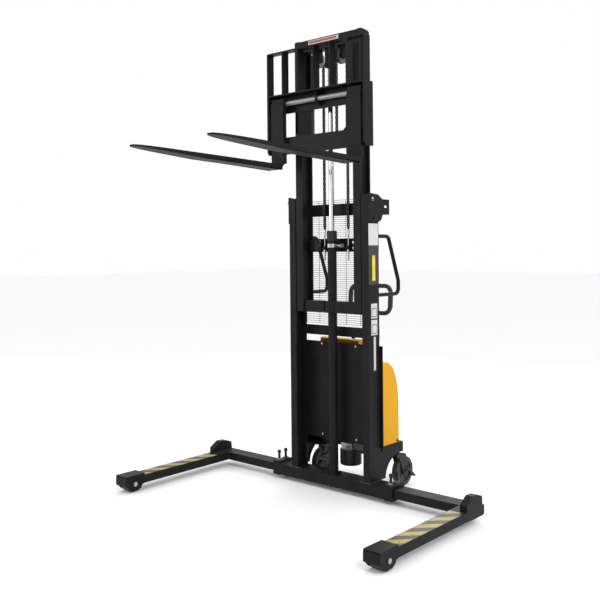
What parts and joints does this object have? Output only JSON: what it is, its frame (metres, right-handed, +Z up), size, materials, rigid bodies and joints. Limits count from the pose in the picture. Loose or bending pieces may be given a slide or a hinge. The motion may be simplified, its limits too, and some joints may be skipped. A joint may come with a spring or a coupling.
{
  "type": "walkie straddle stacker",
  "caption": "Walk-behind straddle stacker with a two-stage mast, hanging adjustable forks, sliding straddle legs, swivel casters and a rear power cover.",
  "frame": {"origin": "on the floor, in the middle of the footprint", "axes": "+Z up, the forks point to -Y, +X to the right of someone who faces the forks from behind"},
  "size_m": [1.944, 1.685, 2.722],
  "materials": {
    "frame_paint": "black semi-gloss paint",
    "fork_paint": "black semi-gloss paint",
    "cover_plastic": "yellow gloss cover",
    "black_plastic": "black matte",
    "red_plastic": "red gloss",
    "battery_plastic": "dark grey matte",
    "hose_rubber": "black rubber",
    "dark_steel": "black painted steel",
    "cast_alloy": "as-cast alloy",
    "zinc_steel": "zinc plated steel",
    "shaft_steel": "ground steel",
    "bearing_steel": "bearing steel",
    "chain_steel": "oiled leaf chain",
    "chrome_rod": "hard chrome",
    "roller_nylon": "black nylon",
    "caster_nylon": "black tread",
    "pedal_steel": "black painted steel"
  },
  "bodies": {
    "chassis": {"base_beam": "frame_paint", "beam_collars": "frame_paint", "left_outer_channel": "frame_paint", "right_outer_channel": "frame_paint", "outer_crossbars": "frame_paint", "mast_top_brackets": "frame_paint", "mesh_guard": "frame_paint", "push_handles": "frame_paint", "cylinder_tube": "frame_paint", "cylinder_gland": "dark_steel", "cylinder_clamp": "zinc_steel", "rear_chain_runs": "chain_steel", "chain_anchors": "zinc_steel", "chassis_frame": "frame_paint", "back_panel": "frame_paint", "power_cover": "cover_plastic", "control_console": "black_plastic", "pump_motor": "dark_steel", "pump_block": "cast_alloy", "hydraulic_tank": "dark_steel", "battery": "battery_plastic", "hydraulic_hose": "hose_rubber", "caster_plates": "dark_steel", "fasteners": "zinc_steel"},
    "inner_mast": {"left_inner_beam": "frame_paint", "right_inner_beam": "frame_paint", "inner_top_beam": "frame_paint", "inner_bottom_bar": "frame_paint", "piston_rod": "chrome_rod", "front_chain_runs": "chain_steel"},
    "carriage": {"carriage_frame": "frame_paint", "backrest": "frame_paint", "fork_shaft": "shaft_steel"},
    "outer_top_rollers": {"outer_top_rollers": "bearing_steel"},
    "inner_bottom_rollers": {"inner_bottom_rollers": "bearing_steel"},
    "chain_pulleys": {"chain_pulleys": "bearing_steel"},
    "carriage_upper_rollers": {"carriage_upper_rollers": "bearing_steel"},
    "carriage_lower_rollers": {"carriage_lower_rollers": "bearing_steel"},
    "left_fork": {"left_fork": "fork_paint"},
    "left_leg": {"left_leg": "frame_paint", "left_leg_axle": "zinc_steel"},
    "left_leg_roller": {"left_leg_roller": "roller_nylon"},
    "left_front_clamp_screw": {"left_front_clamp_screw": "dark_steel"},
    "left_rear_clamp_screw": {"left_rear_clamp_screw": "dark_steel"},
    "left_caster": {"left_caster_fork": "dark_steel"},
    "left_caster_wheel": {"left_caster_wheel": "caster_nylon"},
    "left_brake_pedal": {"left_brake_pedal": "pedal_steel"},
    "right_fork": {"right_fork": "fork_paint"},
    "right_leg": {"right_leg": "frame_paint", "right_leg_axle": "zinc_steel"},
    "right_leg_roller": {"right_leg_roller": "roller_nylon"},
    "right_front_clamp_screw": {"right_front_clamp_screw": "dark_steel"},
    "right_rear_clamp_screw": {"right_rear_clamp_screw": "dark_steel"},
    "right_caster": {"right_caster_fork": "dark_steel"},
    "right_caster_wheel": {"right_caster_wheel": "caster_nylon"},
    "right_brake_pedal": {"right_brake_pedal": "pedal_steel"},
    "key_switch": {"key_switch": "shaft_steel"},
    "stop_button": {"stop_button": "red_plastic"},
    "lift_lever": {"lift_lever": "black_plastic"},
    "tiller": {"tiller_arm": "black_plastic"}
  },
  "joints": [
    {"name": "inner_slide", "type": "slide", "parent": "chassis", "child": "inner_mast", "axis": [0, 0, 1], "range_m": [-0.94, 0.29], "deforming": ["rear_chain_runs"]},
    {"name": "carriage_slide", "type": "slide", "parent": "inner_mast", "child": "carriage", "axis": [0, 0, 1], "range_m": [-0.94, 0.29], "deforming": ["front_chain_runs"]},
    {"name": "outer_top_rollers_spin", "type": "hinge", "parent": "chassis", "child": "outer_top_rollers", "pos_m": [0, 0.4135, 1.706], "axis": [1, 0, 0], "continuous": true},
    {"name": "inner_bottom_rollers_spin", "type": "hinge", "parent": "inner_mast", "child": "inner_bottom_rollers", "pos_m": [0, 0.4135, 1.123], "axis": [1, 0, 0], "continuous": true},
    {"name": "chain_pulleys_spin", "type": "hinge", "parent": "inner_mast", "child": "chain_pulleys", "pos_m": [0, 0.4005, 2.59], "axis": [1, 0, 0], "continuous": true},
    {"name": "carriage_upper_rollers_spin", "type": "hinge", "parent": "carriage", "child": "carriage_upper_rollers", "pos_m": [0, 0.4135, 2.3], "axis": [1, 0, 0], "continuous": true},
    {"name": "carriage_lower_rollers_spin", "type": "hinge", "parent": "carriage", "child": "carriage_lower_rollers", "pos_m": [0, 0.4135, 2.118], "axis": [1, 0, 0], "continuous": true},
    {"name": "left_fork_slide", "type": "slide", "parent": "carriage", "child": "left_fork", "axis": [1, 0, 0], "range_m": [-0.015, 0.22]},
    {"name": "left_leg_slide", "type": "slide", "parent": "chassis", "child": "left_leg", "axis": [1, 0, 0], "range_m": [0, 0.24]},
    {"name": "left_leg_roller_spin", "type": "hinge", "parent": "left_leg", "child": "left_leg_roller", "pos_m": [-0.9205, -0.3985, 0.0485], "axis": [1, 0, 0], "continuous": true},
    {"name": "left_front_clamp_turn", "type": "hinge", "parent": "chassis", "child": "left_front_clamp_screw", "pos_m": [-0.428, 0.3875, 0.12], "axis": [0, 0, 1], "range_deg": [0, 720]},
    {"name": "left_rear_clamp_turn", "type": "hinge", "parent": "chassis", "child": "left_rear_clamp_screw", "pos_m": [-0.428, 0.4475, 0.12], "axis": [0, 0, 1], "range_deg": [0, 720]},
    {"name": "left_caster_swivel", "type": "hinge", "parent": "chassis", "child": "left_caster", "pos_m": [-0.262, 0.6805, 0.2], "axis": [0, 0, 1], "continuous": true},
    {"name": "left_caster_roll", "type": "hinge", "parent": "left_caster", "child": "left_caster_wheel", "pos_m": [-0.262, 0.6145, 0.088], "axis": [1, 0, 0], "continuous": true},
    {"name": "left_brake_press", "type": "hinge", "parent": "left_caster", "child": "left_brake_pedal", "pos_m": [-0.262, 0.6005, 0.112], "axis": [1, 0, 0], "range_deg": [0, 7]},
    {"name": "right_fork_slide", "type": "slide", "parent": "carriage", "child": "right_fork", "axis": [-1, 0, 0], "range_m": [-0.015, 0.22]},
    {"name": "right_leg_slide", "type": "slide", "parent": "chassis", "child": "right_leg", "axis": [-1, 0, 0], "range_m": [0, 0.24]},
    {"name": "right_leg_roller_spin", "type": "hinge", "parent": "right_leg", "child": "right_leg_roller", "pos_m": [0.9205, -0.3985, 0.0485], "axis": [1, 0, 0], "continuous": true},
    {"name": "right_front_clamp_turn", "type": "hinge", "parent": "chassis", "child": "right_front_clamp_screw", "pos_m": [0.428, 0.3875, 0.12], "axis": [0, 0, 1], "range_deg": [0, 720]},
    {"name": "right_rear_clamp_turn", "type": "hinge", "parent": "chassis", "child": "right_rear_clamp_screw", "pos_m": [0.428, 0.4475, 0.12], "axis": [0, 0, 1], "range_deg": [0, 720]},
    {"name": "right_caster_swivel", "type": "hinge", "parent": "chassis", "child": "right_caster", "pos_m": [0.262, 0.6805, 0.2], "axis": [0, 0, 1], "continuous": true},
    {"name": "right_caster_roll", "type": "hinge", "parent": "right_caster", "child": "right_caster_wheel", "pos_m": [0.262, 0.7465, 0.088], "axis": [1, 0, 0], "continuous": true},
    {"name": "right_brake_press", "type": "hinge", "parent": "right_caster", "child": "right_brake_pedal", "pos_m": [0.262, 0.7605, 0.112], "axis": [-1, 0, 0], "range_deg": [0, 7]},
    {"name": "key_turn", "type": "hinge", "parent": "chassis", "child": "key_switch", "pos_m": [-0.086, 0.56316, 0.85573], "axis": [0, 0.766, 0.6428], "range_deg": [0, 90]},
    {"name": "stop_press", "type": "slide", "parent": "chassis", "child": "stop_button", "axis": [0, -0.766, -0.6428], "range_m": [0, 0.005], "stiffness_N_per_m": 800},
    {"name": "lift_lever_tilt", "type": "hinge", "parent": "chassis", "child": "lift_lever", "pos_m": [0, 0.5601, 0.85316], "axis": [1, 0, 0], "range_deg": [-22, 22], "stiffness_Nm_per_rad": 2},
    {"name": "tiller_tilt", "type": "hinge", "parent": "chassis", "child": "tiller", "pos_m": [0, 0.7225, 0.268], "axis": [-1, 0, 0], "range_deg": [0, 70]}
  ],
  "couplings": [
    {"joint": "carriage_slide", "follows": "inner_slide", "ratio": 1},
    {"joint": "outer_top_rollers_spin", "follows": "inner_slide", "rad_per_m": 26.525},
    {"joint": "inner_bottom_rollers_spin", "follows": "inner_slide", "rad_per_m": -25.84},
    {"joint": "chain_pulleys_spin", "follows": "inner_slide", "rad_per_m": -19.685},
    {"joint": "carriage_upper_rollers_spin", "follows": "inner_slide", "rad_per_m": 26.525},
    {"joint": "carriage_lower_rollers_spin", "follows": "inner_slide", "rad_per_m": -26.525}
  ]
}
